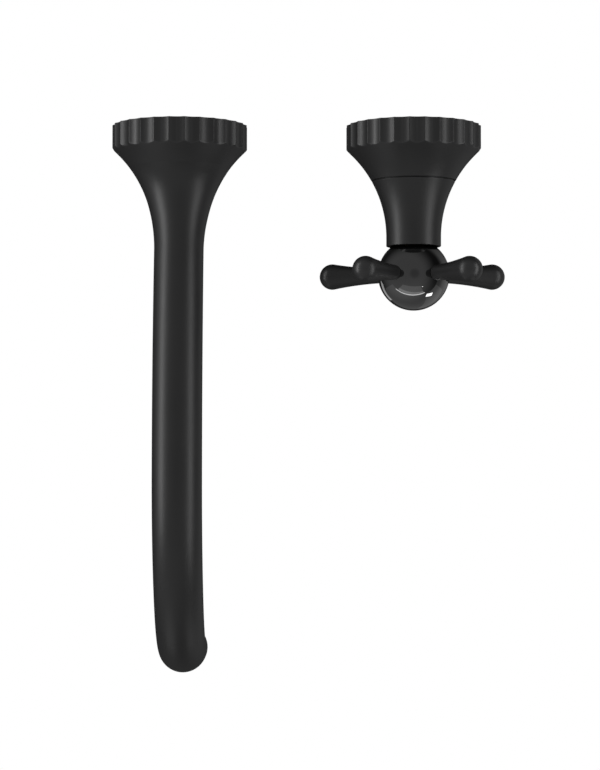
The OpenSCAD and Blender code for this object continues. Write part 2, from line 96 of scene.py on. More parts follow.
VALVE_X = joint("handle_turn")["pos_m"][0]
BALL_S = -joint("handle_turn")["pos_m"][1]
FLANGE_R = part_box("valve_bell")[1].x - VALVE_X
SEAM_S = -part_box("valve_bell")[0].y
SLEEVE_END_S = -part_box("valve_sleeve")[0].y
MOUTH_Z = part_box("spout_body")[0].z
BALL_R = (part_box("hub_ball")[1].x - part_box("hub_ball")[0].x) / 2
GASKET_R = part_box("spout_wall_gasket")[1].x
SPIGOT_S = -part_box("valve_sleeve")[1].y
SPIGOT_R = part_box("sleeve_o_ring")[1].x - VALVE_X
BARREL_END_S = -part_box("headwork_body")[0].y
SKIRT_R = GASKET_R + SLIDE_GAP
LEDGE_R = SKIRT_R - 1.5 * MM
SKIRT_CHAMFER = 0.2 * MM
GASKET_H = -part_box("spout_wall_gasket")[0].y
SOCKET_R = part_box("connector_o_rings")[1].x + SLIDE_GAP
SOCKET_START = 15 * MM
SOCKET_END = -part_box("spout_connector")[0].y + 1 * MM
AERATOR_BORE_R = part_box("aerator_housing")[1].x + SLIDE_GAP
AERATOR_BORE_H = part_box("aerator_washer")[1].z + 0.1 * MM - MOUTH_Z
BUSH_R = (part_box("hub_insert")[1].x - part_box("hub_insert")[0].x) / 2
SCREW_S = -middle("spout_locking_screw").y
SPOUT_SCREW_R = 2.5 * MM
HUB_SCREW_R = 2 * MM
HUB_SCREW_HALF = 3 * MM
SCREW_FACE_H = 0.15 * MM  # how far a locking screw's face stands over its hole's floor
SPIGOT_BORE_R = 13.1 * MM
SPIGOT_CHAMFER = 0.6 * MM
SLEEVE_WALL = 1.5 * MM
BARREL_BORE_R = 9 * MM
BARREL_BORE_S = 23 * MM
GROOVE_DEPTH = 0.7 * MM
ARM_WAIST = 10 * MM
STUD_HOLE_FLOOR = 21.05 * MM


class FaucetSizes(bpy.types.PropertyGroup):
    """Sizes of the visible pieces that the frame doesn't give, in metres and radians."""

    flutes: IntProperty(
        name="Flutes", description="Concave flutes round a flange", default=28, min=8)
    flute_depth: FloatProperty(
        name="Flute depth", description="Depth of a flute under its ridges",
        default=0.8 * MM, unit="LENGTH")
    ridge_land: FloatProperty(
        name="Ridge land", description="Width left between two flutes",
        default=0.3 * MM, unit="LENGTH")
    flange_depth: FloatProperty(
        name="Flange depth", description="Depth of the straight part of a flange",
        default=10 * MM, unit="LENGTH")
    bevel: FloatProperty(
        name="Bevel", description="Size of the bevel between flange and flare",
        default=2.5 * MM, unit="LENGTH")
    edge: FloatProperty(
        name="Edge rounding", description="Radius of the softened edges",
        default=0.35 * MM, unit="LENGTH")
    tube_r: FloatProperty(
        name="Tube radius", description="Outer radius of the spout's tube",
        default=10.5 * MM, unit="LENGTH")
    tube_wall: FloatProperty(
        name="Tube wall", description="Wall of the spout's tube", default=2.5 * MM, unit="LENGTH")
    reach: FloatProperty(
        name="Reach", description="Distance from the wall to the outlet's axis",
        default=226 * MM, unit="LENGTH")
    straight_run: FloatProperty(
        name="Straight run", description="Straight length before the first bend",
        default=18 * MM, unit="LENGTH")
    rise_bend_r: FloatProperty(
        name="Rise bend", description="Radius of the first bend", default=75 * MM, unit="LENGTH")
    rise_angle: FloatProperty(
        name="Rise angle", description="Slope of the tube as it leaves the flare",
        default=math.radians(18), subtype="ANGLE")
    crest_bend_r: FloatProperty(
        name="Crest bend", description="Radius of the bend over the crest",
        default=87 * MM, unit="LENGTH")
    crest_angle: FloatProperty(
        name="Crest angle", description="Slope where the crest bend ends",
        default=math.radians(40), subtype="ANGLE")
    drop_bend_r: FloatProperty(
        name="Drop bend", description="Radius of the last bend", default=53 * MM, unit="LENGTH")
    tail_r: FloatProperty(
        name="Flare tail", description="Radius of the flare's last curve",
        default=77 * MM, unit="LENGTH")
    tail_angle: FloatProperty(
        name="Tail angle", description="Slope at which the flare's last curve begins",
        default=math.radians(15.6), subtype="ANGLE")
    sleeve_r: FloatProperty(
        name="Sleeve radius", description="Radius of the sleeve's front end",
        default=11.7 * MM, unit="LENGTH")
    seam_width: FloatProperty(
        name="Shadow groove", description="Width of the groove between bell and sleeve",
        default=0.5 * MM, unit="LENGTH")
    arm_tip_r: FloatProperty(
        name="Arm tip", description="Radius of an arm's round tip",
        default=5.5 * MM, unit="LENGTH")
    arm_neck_r: FloatProperty(
        name="Arm neck", description="Radius of an arm's thinnest section",
        default=3.15 * MM, unit="LENGTH")
    arm_reach: FloatProperty(
        name="Arm reach", description="Distance from the axis to the centre of a tip",
        default=36.5 * MM, unit="LENGTH")


class FaucetFinishes(bpy.types.PropertyGroup):
    """Colours of the finishes, as linear red, green and blue."""

    satin: FloatVectorProperty(
        name="Satin black", description="Coating of the body and arms",
        subtype="COLOR", size=3, default=(0.012, 0.012, 0.0123))
    gloss: FloatVectorProperty(
        name="Gloss black", description="Polished ball",
        subtype="COLOR", size=3, default=(0.0040, 0.0040, 0.0043))
    brass: FloatVectorProperty(
        name="Brass", description="Machined fittings",
        subtype="COLOR", size=3, default=(0.64, 0.46, 0.21))
    steel: FloatVectorProperty(
        name="Steel", description="Screws, studs, clip and screen",
        subtype="COLOR", size=3, default=(0.56, 0.57, 0.58))
    rubber: FloatVectorProperty(
        name="Rubber", description="Seals and gaskets",
        subtype="COLOR", size=3, default=(0.022, 0.022, 0.023))
    ceramic: FloatVectorProperty(
        name="Ceramic", description="Valve discs",
        subtype="COLOR", size=3, default=(0.80, 0.78, 0.72))
    fibre: FloatVectorProperty(
        name="Fibre", description="Pressed washer",
        subtype="COLOR", size=3, default=(0.30, 0.055, 0.035))
    plastic: FloatVectorProperty(
        name="Acetal", description="Flow insert and thrust washer",
        subtype="COLOR", size=3, default=(0.72, 0.72, 0.68))


class StudioSettings(bpy.types.PropertyGroup):
    """Camera and lights."""

    lens: FloatProperty(name="Lens", description="Focal length in millimetres", default=105.7)
    camera_place: FloatVectorProperty(
        name="Camera", description="Place of the camera, in metres",
        size=3, default=(VALVE_X / 2 - 0.0026, -0.1429, 0.964))
    camera_target: FloatVectorProperty(
        name="Target", description="Point that the camera looks at, in metres",
        size=3, default=(VALVE_X / 2 + 0.0014, -0.1109, 0.0))
    left_power: FloatProperty(name="Left box", description="Power in watts", default=6.1)
    right_power: FloatProperty(name="Right box", description="Power in watts", default=3.8)
    flare_power: FloatProperty(name="Front boxes", description="Power in watts", default=0.24)
    strip_power: FloatProperty(name="Ball strip", description="Power in watts", default=1.2)
    glow_power: FloatProperty(name="Ball glow", description="Power in watts", default=0.75)
    haze_power: FloatProperty(name="Ball haze", description="Power in watts", default=0.85)
    front_power: FloatProperty(name="Ball front", description="Power in watts", default=3.4)
    side_power: FloatProperty(name="Ball right", description="Power in watts", default=1.0)
    window_power: FloatProperty(name="Ball window", description="Power in watts", default=1.5)
    glint_power: FloatProperty(name="Ball glint", description="Power in watts", default=0.035)
    rim_power: FloatProperty(name="Ball rim", description="Power in watts", default=0.11)
    fill: FloatProperty(name="Fill", description="Brightness of the sky overhead", default=0.33)
    front_glow: FloatProperty(
        name="Front glow", description="Brightness added in front", default=0.10)
    side_glow: FloatProperty(
        name="Side glow", description="Brightness added low on the right", default=0.25)
    floor_glow: FloatProperty(
        name="Floor glow", description="Brightness that every direction has", default=0.03)


def sizes():
    return bpy.context.scene.faucet_sizes


def finishes():
    return bpy.context.scene.faucet_finishes


def studio():
    return bpy.context.scene.faucet_studio


# ---------------------------------------------------------------- surfaces

def grid_object(name, points, wear=None, poles=None):
    """A mesh object from a grid of points, rows by columns by three.

    Quads join neighbours. The last column joins the first. The last row joins the first too,
    unless poles are given: two points that close the first and the last row with a fan. wear is
    one number for each point, kept as the attribute "wear"."""
    rows, columns = points.shape[:2]
    r = np.arange(rows if poles is None else rows - 1)[:, None]
    c = np.arange(columns)[None, :]
    below, right = (r + 1) % rows, (c + 1) % columns
    quads = np.stack([r * columns + c, r * columns + right, below * columns + right,
                      below * columns + c], axis=-1).reshape(-1, 4)
    corners = points.reshape(-1, 3)
    fans = np.zeros((0, 3), int)
    if poles is not None:
        corners = np.concatenate([corners, np.array(poles, float)])
        first, last = np.arange(columns), (rows - 1) * columns + np.arange(columns)
        near, far = np.full(columns, rows * columns), np.full(columns, rows * columns + 1)
        fans = np.concatenate([np.stack([near, np.roll(first, -1), first], axis=-1),
                               np.stack([last, np.roll(last, -1), far], axis=-1)])
    loops = np.concatenate([quads.reshape(-1), fans.reshape(-1)])
    starts = np.concatenate([np.arange(len(quads)) * 4, quads.size + np.arange(len(fans)) * 3])
    mesh = bpy.data.meshes.new(name)
    mesh.vertices.add(len(corners))
    mesh.vertices.foreach_set("co", corners.reshape(-1).astype(np.float32))
    mesh.loops.add(len(loops))
    mesh.loops.foreach_set("vertex_index", loops.astype(np.int32))
    mesh.polygons.add(len(starts))
    mesh.polygons.foreach_set("loop_start", starts.astype(np.int32))
    mesh.update(calc_edges=True)
    mesh.validate()
    mesh.polygons.foreach_set("use_smooth", np.ones(len(starts), bool))
    mesh.set_sharp_from_angle(angle=SHARP_EDGE)
    worn = np.zeros(len(corners), np.float32)
    if wear is not None:
        worn[:rows * columns] = np.broadcast_to(wear, (rows, columns)).reshape(-1)
    mesh.attributes.new("wear", "FLOAT", "POINT").data.foreach_set("value", worn)
    piece = bpy.data.objects.new(name, mesh)
    bpy.context.scene.collection.objects.link(piece)
    return piece


def arc(centre, radius, start, end, steps):
    """Points on a circle between two angles, as pairs."""
    t = np.linspace(start, end, steps + 1)
    return np.stack([centre[0] + radius * np.cos(t), centre[1] + radius * np.sin(t)], axis=-1)


def rounded(corners, radius, steps):
    """An outline of straight stretches whose corners are replaced by short curves.

    Each corner becomes a quadratic curve between two points at most radius away from it, along
    its two sides, with one more point on either side that keeps the shading of the flats. The
    corners are pairs, or rows of pairs for many outlines at once. The first and last stay."""
    corners = [np.asarray(c, float) for c in corners]
    out = [corners[0][None]]
    for before, corner, after in zip(corners, corners[1:], corners[2:]):
        a, b = before - corner, after - corner
        la = np.linalg.norm(a, axis=-1, keepdims=True)
        lb = np.linalg.norm(b, axis=-1, keepdims=True)
        cut = np.minimum(radius, np.minimum(la, lb) * 0.3)
        start, end = corner + a / la * cut, corner + b / lb * cut
        t = np.linspace(0, 1, steps + 1).reshape((-1,) + (1,) * corner.ndim)
        out.append((corner + a / la * cut * 1.5)[None])
        out.append((1 - t) ** 2 * start + 2 * t * (1 - t) * corner + t ** 2 * end)
        out.append((corner + b / lb * cut * 1.5)[None])
    out.append(corners[-1][None])
    return np.concatenate(out)


def divided(outline, longest):
    """The same outline with points added, so that no stretch is longer than longest."""
    out = [outline[:1]]
    for a, b in zip(outline, outline[1:]):
        n = max(1, int(math.ceil(np.linalg.norm(b - a) / longest)))
        t = np.linspace(0, 1, n + 1)[1:, None]
        out.append(a + (b - a) * t)
    return np.concatenate(out)


def flute_angles():
    """Angles round a flange, sixteen to a flute and closest together on its ridges.

    Within a flute the angle is its half width times the sine of an even step."""
    s = sizes()
    half = math.pi / s.flutes
    within = half * np.sin(np.linspace(-QUARTER_TURN, QUARTER_TURN, 17))[:-1]
    centres = QUARTER_TURN + FULL_TURN * np.arange(s.flutes) / s.flutes
    return (centres[:, None] + within[None, :]).reshape(-1)


def flute_cut(angles):
    """How deep the flutes cut under the flange's radius, at angles round it.

    A flute is the side of a long cylinder whose axis lies outside the flange."""
    s = sizes()
    width = FULL_TURN * FLANGE_R / s.flutes - s.ridge_land
    sagitta = s.flute_depth - FLANGE_R * (1 - math.cos(math.pi / s.flutes))
    cutter = width ** 2 / (8 * sagitta) + sagitta / 2
    far = FLANGE_R - s.flute_depth + cutter
    pitch = FULL_TURN / s.flutes
    off = (angles - QUARTER_TURN + pitch / 2) % pitch - pitch / 2
    under = far * np.cos(off) - np.sqrt(np.maximum(cutter ** 2 - (far * np.sin(off)) ** 2, 0))
    return np.maximum(FLANGE_R - under, 0)


def turned(outline, angles, x):
    """Rings of points round an axis that leaves the wall at x: one ring for each radius and
    distance of the outline, at the given angles. An outline may also have its own radius and
    distance for each angle."""
    if outline.ndim == 2:
        outline = outline[:, None, :]
    r, d = outline[..., 0], outline[..., 1]
    return np.stack([x + r * np.cos(angles), -d + 0 * angles, r * np.sin(angles)], axis=-1)


def flange(angles, x):
    """A flange from its skirt's inner edge to the end of its bevel, and the wear on it.

    The flutes run out on the bevel, which slopes at 45 degrees: where a flute is cut deeper, the
    edge between it and the bevel lies as much further from the wall."""
    s = sizes()
    cut = flute_cut(angles)
    rim = FLANGE_R - cut
    corners = [np.stack(np.broadcast_arrays(radius + 0 * cut, distance), axis=-1)
               for radius, distance in ((SKIRT_R, 0), (rim, 0), (rim, s.flange_depth + cut),
                                        bevel_end())]
    outline = rounded(corners, s.edge, 4)
    half = math.pi / s.flutes
    off = np.abs((angles - QUARTER_TURN) % (2 * half) - half) / half
    ridge = np.exp(-((1 - off) / RIDGE_WEAR) ** 2) * (outline[..., 1] < s.flange_depth + s.edge)
    to_edge = np.linalg.norm(outline - corners[2], axis=-1)
    return turned(outline, angles, x), np.clip(ridge + np.exp(-(to_edge / s.edge) ** 2), 0, 1)


def bevel_end():
    """Radius and distance from the wall at which the bevel ends and the flare begins."""
    s = sizes()
    return np.array([FLANGE_R - s.bevel, s.flange_depth + s.bevel])


def curve_radius(distance, start, end_r):
    """Radius of the bell's and sleeve's common curve: one circle that leaves the bevel at 45
    degrees and ends along the sleeve."""
    radius = (start[0] - end_r) / (1 - math.cos(math.pi / 4))
    centre = start + radius * math.sqrt(0.5)
    short = np.minimum(distance, centre[1]) - centre[1]
    return np.where(distance > centre[1], end_r, centre[0] - np.sqrt(radius ** 2 - short ** 2))


def curve_end(start, end_r):
    """Distance from the wall at which that curve has become straight."""
    return start[1] + (start[0] - end_r) / (1 - math.cos(math.pi / 4)) * math.sqrt(0.5)


def bored(points, foot, direction, radius, floor, cell):
    """Sinks a round blind hole into a grid of points.

    Points within half a cell of the hole's edge move onto it, and points inside move along the
    hole's direction to the floor, which is a distance from its foot."""
    foot, direction = np.asarray(foot, float), np.asarray(direction, float)
    along = (points - foot) @ direction
    side = points - foot - along[..., None] * direction
    off = np.linalg.norm(side, axis=-1)
    outside = along > floor * 0.9
    near = outside & (np.abs(off - radius) < cell / 2)
    stretch = (radius / np.maximum(off, 1e-9))[..., None]
    moved = foot + along[..., None] * direction + side * stretch
    sunk = foot + floor * direction + side
    inside = outside & (off <= radius - cell / 2)
    return np.where(inside[..., None], sunk, np.where(near[..., None], moved, points))


class Line:
    """The spout's centre line: a straight run and four bends that follow on without a kink.

    The first bend turns up by the rise angle, the long one turns back to level, the crest bend
    turns down and the drop bend ends upright over the outlet."""

    def __init__(self):
        s = sizes()
        a, c = s.rise_angle, s.crest_angle
        self.long_r = (s.reach - s.straight_run - s.rise_bend_r * math.sin(a)
                       - s.crest_bend_r * math.sin(c)
                       - s.drop_bend_r * (1 - math.sin(c))) / math.sin(a)
        bends = [(s.rise_bend_r, a), (self.long_r, -a), (s.crest_bend_r, -c),
                 (s.drop_bend_r, c - QUARTER_TURN)]
        self.starts = [(0.0, 0.0, 0.0, 0.0, None)]
        u, x, z, t = s.straight_run, s.straight_run, 0.0, 0.0
        for radius, turn in bends:
            k = math.copysign(1 / radius, turn)
            self.starts.append((u, x, z, t, k))
            u += radius * abs(turn)
            x += (math.sin(t + turn) - math.sin(t)) / k
            z -= (math.cos(t + turn) - math.cos(t)) / k
            t += turn
        self.starts.append((u, x, z, t, None))
        self.length = u

    def at(self, u):
        """Distance from the wall, height and slope at lengths along the line."""
        u = np.asarray(u, float)
        x, z, t = u.copy(), np.zeros_like(u), np.zeros_like(u)
        for begin, x0, z0, t0, k in self.starts:
            past = u > begin
            step = u - begin
            if k is None:
                x = np.where(past, x0 + step * math.cos(t0), x)
                z = np.where(past, z0 + step * math.sin(t0), z)
                t = np.where(past, t0, t)
            else:
                x = np.where(past, x0 + (np.sin(t0 + k * step) - math.sin(t0)) / k, x)
                z = np.where(past, z0 - (np.cos(t0 + k * step) - math.cos(t0)) / k, z)
                t = np.where(past, t0 + k * step, t)
        return x, z, t


def flare_radius(u, start):
    """Outer radius of the spout at a length along it, past the bevel: one circle that leaves
    the bevel at 45 degrees, then a wider one that ends along the tube."""
    s = sizes()
    tail = math.cos(s.tail_angle)
    first = (start[0] - s.tube_r - s.tail_r * (1 - tail)) / (tail - math.sqrt(0.5))
    centre = start + first * math.sqrt(0.5)
    change = centre[1] - first * math.sin(s.tail_angle)
    end = change + s.tail_r * math.sin(s.tail_angle)
    near = centre[0] - np.sqrt(np.maximum(first ** 2 - (centre[1] - u) ** 2, 0))
    far = s.tube_r + s.tail_r - np.sqrt(s.tail_r ** 2 - np.minimum(u - end, 0) ** 2)
    return np.where(u < change, near, far), end


def along_line(line, r, u, angles):
    """Rings of radius r square to the centre line at lengths u."""
    x, z, t = line.at(u)
    x, z, t, r = x[:, None], z[:, None], t[:, None], np.asarray(r)[:, None]
    cos, sin = np.cos(angles), np.sin(angles)
    return np.stack([r * cos, -x + r * sin * np.sin(t), z + r * sin * np.cos(t)], axis=-1)


def cavity_outline(back_r, back_s):
    """The hollow behind a flange, from its back edge to the wall, with the gasket's step."""
    return [(back_r, back_s), (LEDGE_R, sizes().flange_depth - 1 * MM), (LEDGE_R, GASKET_H),
            (SKIRT_R, GASKET_H), (SKIRT_R, SKIRT_CHAMFER)]


class FAUCET_OT_spout(bpy.types.Operator):
    """Build the spout: fluted flange, flare and bent tube as one closed hollow shell."""

    bl_idname = "faucet.spout"
    bl_label = "Spout"

    def execute(self, context):
        s, line, angles = sizes(), Line(), flute_angles()
        ring, worn = flange(angles, 0.0)
        start = bevel_end()
        _, flare_end = flare_radius(np.array([start[1]]), start)
        fine_end = 23 * MM  # rows are close together up to here, for the screw's hole
        u = np.concatenate([
            np.arange(start[1] + 0.4 * MM, fine_end, 0.35 * MM),
            np.linspace(fine_end, flare_end, 26),
            np.linspace(flare_end, line.starts[3][0], 18)[1:],
            np.linspace(line.starts[3][0], line.starts[4][0], 18)[1:],
            np.linspace(line.starts[4][0], line.length, 20)[1:],
        ])
        r, _ = flare_radius(u, start)
        body = along_line(line, r, u, angles)
        body = bored(body, (0, -SCREW_S, 0), (0, 0, -1), SPOUT_SCREW_R,
                     -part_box("spout_locking_screw")[0].z - SCREW_FACE_H, 0.3 * MM)
        tip = line.length + line.at(line.length)[1] - MOUTH_Z
        water_r, bore_end = s.tube_r - s.tube_wall, tip - AERATOR_BORE_H
        lip = rounded([(s.tube_r, line.length), (s.tube_r, tip), (AERATOR_BORE_R, tip),
                       (AERATOR_BORE_R, bore_end), (water_r, bore_end)], 0.45 * MM, 5)[1:]
        inside_u = np.linspace(bore_end - 2 * MM, SOCKET_END + 2.5 * MM, 24)
        inside = along_line(line, np.full(len(inside_u), water_r), inside_u, angles)
        socket = np.array([(SOCKET_R, SOCKET_END), (SOCKET_R, SOCKET_START)]
                          + cavity_outline(LEDGE_R - 5 * MM, SOCKET_START))
        back = turned(divided(socket, 3 * MM), angles, 0.0)
        mouth = along_line(line, lip[:, 0], lip[:, 1], angles)
        points = np.concatenate([ring, body, mouth, inside, back])
        wear = np.zeros(points.shape[:2])
        wear[:len(ring)] = worn
        shell = grid_object("spout_shell", points, wear)
        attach(shell, "root")
        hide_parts("spout_body")
        shell.data.materials.append(satin_black())
        return {"FINISHED"}


class FAUCET_OT_bell(bpy.types.Operator):
    """Build the valve's bell: fluted flange and the start of the flare, up to the groove."""

    bl_idname = "faucet.bell"
    bl_label = "Valve bell"

    def execute(self, context):
        s, angles = sizes(), flute_angles()
        ring, worn = flange(angles, VALVE_X)
        start = bevel_end()
        d = np.linspace(start[1] + 0.4 * MM, SEAM_S - 0.3 * MM, 26)
        curve = np.stack([curve_radius(d, start, s.sleeve_r), d], axis=-1)
        bore_r, bore_end = SPIGOT_R + SLIDE_GAP, SPIGOT_S - SPIGOT_CHAMFER
        end_r = float(curve_radius(np.array([SEAM_S]), start, s.sleeve_r)[0])
        lip = rounded([tuple(curve[-1]), (end_r, SEAM_S), (bore_r, SEAM_S), (bore_r, bore_end)],
                      0.25 * MM, 4)[1:]
        inner = np.array([(bore_r, bore_end)]
                         + cavity_outline(bore_r + 3.4 * MM, SEAM_S - 8 * MM))
        outline = np.concatenate([curve, lip, divided(inner, 3 * MM)[1:]])
        points = np.concatenate([ring, turned(outline, angles, VALVE_X)])
        wear = np.zeros(points.shape[:2])
        wear[:len(ring)] = worn
        shell = grid_object("bell_shell", points, wear)
        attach(shell, "root")
        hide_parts("valve_bell")
        shell.data.materials.append(satin_black())
        return {"FINISHED"}


class FAUCET_OT_sleeve(bpy.types.Operator):
    """Build the sleeve that carries the flare on from the shadow groove to its open end."""

    bl_idname = "faucet.sleeve"
    bl_label = "Valve sleeve"

    def execute(self, context):
        s = sizes()
        start = bevel_end()
        angles = np.arange(256) * FULL_TURN / 256
        groove = SEAM_S + s.seam_width
        curve_start = groove + 0.5 * MM
        seam_r, groove_r, start_r = (float(r) for r in curve_radius(
            np.array([SEAM_S, groove, curve_start]), start, s.sleeve_r))
        foot = rounded([(SPIGOT_BORE_R, SPIGOT_S), (SPIGOT_R, SPIGOT_S), (SPIGOT_R, SEAM_S),
                        (seam_r - GROOVE_DEPTH, SEAM_S), (groove_r - GROOVE_DEPTH, groove),
                        (groove_r, groove), (start_r, curve_start)], 0.2 * MM, 3)
        d = np.linspace(curve_start, curve_end(start, s.sleeve_r), 60)[1:]
        curve = np.stack([curve_radius(d, start, s.sleeve_r), d], axis=-1)
        bore = s.sleeve_r - SLEEVE_WALL
        front = rounded([tuple(curve[-1]), (s.sleeve_r, SLEEVE_END_S), (bore, SLEEVE_END_S),
                         (bore, BARREL_END_S), (BARREL_BORE_R, BARREL_END_S),
                         (BARREL_BORE_R, BARREL_BORE_S), (SPIGOT_BORE_R, BARREL_BORE_S),
                         (SPIGOT_BORE_R, SPIGOT_S + 0.2 * MM)], 0.35 * MM, 5)[1:]
        outline = divided(np.concatenate([foot, curve, front]), 2.5 * MM)
        edges = [(s.sleeve_r, SLEEVE_END_S), (groove_r, groove)]
        wear = sum(np.exp(-(np.hypot(outline[:, 0] - r, outline[:, 1] - e) / (0.4 * MM)) ** 2)
                   for r, e in edges)
        shell = grid_object("sleeve_shell", turned(outline, angles, VALVE_X), wear[:, None])
        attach(shell, "root")
        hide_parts("valve_sleeve")
        shell.data.materials.append(satin_black())
        return {"FINISHED"}


class FAUCET_OT_ball(bpy.types.Operator):
    """Build the polished ball in the middle of the handle, with the bore for its bush."""

    bl_idname = "faucet.ball"
    bl_label = "Handle ball"

    def execute(self, context):
        angles = np.arange(384) * FULL_TURN / 384
        bore = BUSH_R + SLIDE_GAP
        floor = -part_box("hub_insert")[0].y + SLIDE_GAP
        edge = math.asin(bore / BALL_R)
        sphere = arc((0, BALL_S), BALL_R, -QUARTER_TURN + edge, QUARTER_TURN, 180)[1:-1]
        neck = (bore, BALL_S - BALL_R * math.cos(edge))
        mouth = rounded([(bore, floor), neck, tuple(sphere[2])], 0.4 * MM, 4)
        outline = np.concatenate([divided(mouth[:2], 2 * MM), mouth[2:], sphere[3:]])
        points = turned(outline, angles, VALVE_X)
        screw = middle("hub_locking_screw")
        foot = np.array([VALVE_X, screw.y, 0])
        out = np.array(screw) - foot
        reach = np.linalg.norm(out)
        points = bored(points, foot, out / reach, HUB_SCREW_R,
                       reach + HUB_SCREW_HALF - SCREW_FACE_H, 0.26 * MM)
        shell = grid_object("ball_shell", points, poles=(
            (VALVE_X, -floor, 0), (VALVE_X, -BALL_S - BALL_R, 0)))
        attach(shell, "handle")
        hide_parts("hub_ball")
        shell.data.materials.append(gloss_black())
        return {"FINISHED"}


class FAUCET_OT_arms(bpy.types.Operator):
    """Build the five club-shaped arms round the ball."""

    bl_idname = "faucet.arms"
    bl_label = "Handle arms"

    def execute(self, context):
        s = sizes()
        stem_h = s.arm_reach - ARM_WAIST
        curve_r = (stem_h ** 2 + s.arm_neck_r ** 2 - s.arm_tip_r ** 2) / (
            2 * (s.arm_tip_r - s.arm_neck_r))
        join = math.atan2(stem_h, curve_r + s.arm_neck_r)
        hole = (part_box("arm_studs")[1].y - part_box("arm_studs")[0].y) / 2 + SLIDE_GAP
        t = np.linspace(0, join, 60)
        stem = np.stack([s.arm_neck_r + curve_r * (1 - np.cos(t)),
                         ARM_WAIST + curve_r * np.sin(t)], axis=-1)
        base = BALL_R + 0.06 * MM
        stem = stem[np.hypot(stem[:, 0], stem[:, 1]) > base + 0.4 * MM]
        tip = arc((0, s.arm_reach), s.arm_tip_r, -join, QUARTER_TURN, 40)[1:-1]
        foot = [(r, math.sqrt(base ** 2 - r ** 2)) for r in (hole, s.arm_neck_r + 0.1 * MM)]
        first = rounded([(hole, STUD_HOLE_FLOOR), *foot, tuple(stem[0])], 0.3 * MM, 4)
        outline = np.concatenate([divided(first[:2], 2 * MM), first[2:], stem[1:], tip])
        angles = np.arange(128) * FULL_TURN / 128
        centre = np.array([VALVE_X, -BALL_S, 0])
        for node in sorted(n for n in frame["nodes"] if n.startswith("arm_") and n[4:].isdigit()):
            out = np.array(middle(node)) - centre
            out[1] = 0  # an arm stands square to the valve's axis
            axis = out / np.linalg.norm(out)
            side = np.array([0.0, -1.0, 0.0])
            other = np.cross(axis, side)
            r, far = outline[:, 0][:, None, None], outline[:, 1][:, None, None]
            ring = np.cos(angles)[None, :, None] * side + np.sin(angles)[None, :, None] * other
            points = centre + far * axis + r * ring
            wear = np.exp(-((outline[:, 1] - outline[:, 1].max()) / (3 * MM)) ** 2)[:, None]
            shell = grid_object(node + "_shell", points, wear, poles=(
                centre + STUD_HOLE_FLOOR * axis, centre + (s.arm_reach + s.arm_tip_r) * axis))
            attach(shell, "handle")
            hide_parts(node)
            shell.data.materials.append(satin_black())
        return {"FINISHED"}


# ---------------------------------------------------------------- materials

class Value:
    """A number inside a material or world, so that its node maths reads as plain arithmetic."""

    def __init__(self, tree, socket):
        self.tree, self.socket = tree, socket

    def maths(self, operation, *values):
        node = self.tree.nodes.new("ShaderNodeMath")
        node.operation = operation
        for socket, value in zip(node.inputs, values):
            feed(self.tree, socket, value)
        return Value(self.tree, node.outputs[0])

    def __add__(self, other):
        return self.maths("ADD", self, other)

    def __radd__(self, other):
        return self.maths("ADD", other, self)

    def __sub__(self, other):
        return self.maths("SUBTRACT", self, other)

    def __rsub__(self, other):
        return self.maths("SUBTRACT", other, self)

    def __mul__(self, other):
        return self.maths("MULTIPLY", self, other)

    def __rmul__(self, other):
        return self.maths("MULTIPLY", other, self)

    def __pow__(self, other):
        return self.maths("POWER", self, other)

    def sin(self):
        return self.maths("SINE", self)

    def larger(self, other):
        return self.maths("MAXIMUM", self, other)

    def above(self, limit, width):
        """Rises from 0 to 1 as this number passes the limit, over the width."""
        node = self.tree.nodes.new("ShaderNodeMapRange")
        node.interpolation_type = "SMOOTHSTEP"
        feed(self.tree, node.inputs["Value"], self)
        node.inputs["From Min"].default_value = limit - width / 2
        node.inputs["From Max"].default_value = limit + width / 2
        return Value(self.tree, node.outputs["Result"])


def feed(tree, socket, value):
    """Sets a socket to a constant, or links it to a Value or another socket."""
    if isinstance(value, Value):
        value = value.socket
    if isinstance(value, bpy.types.NodeSocket):
        tree.links.new(value, socket)
    else:
        socket.default_value = value


def opaque(colour):
    """A colour with full alpha. Anything but a tuple is returned as it is."""
    return (*colour, 1.0) if isinstance(colour, tuple) else colour


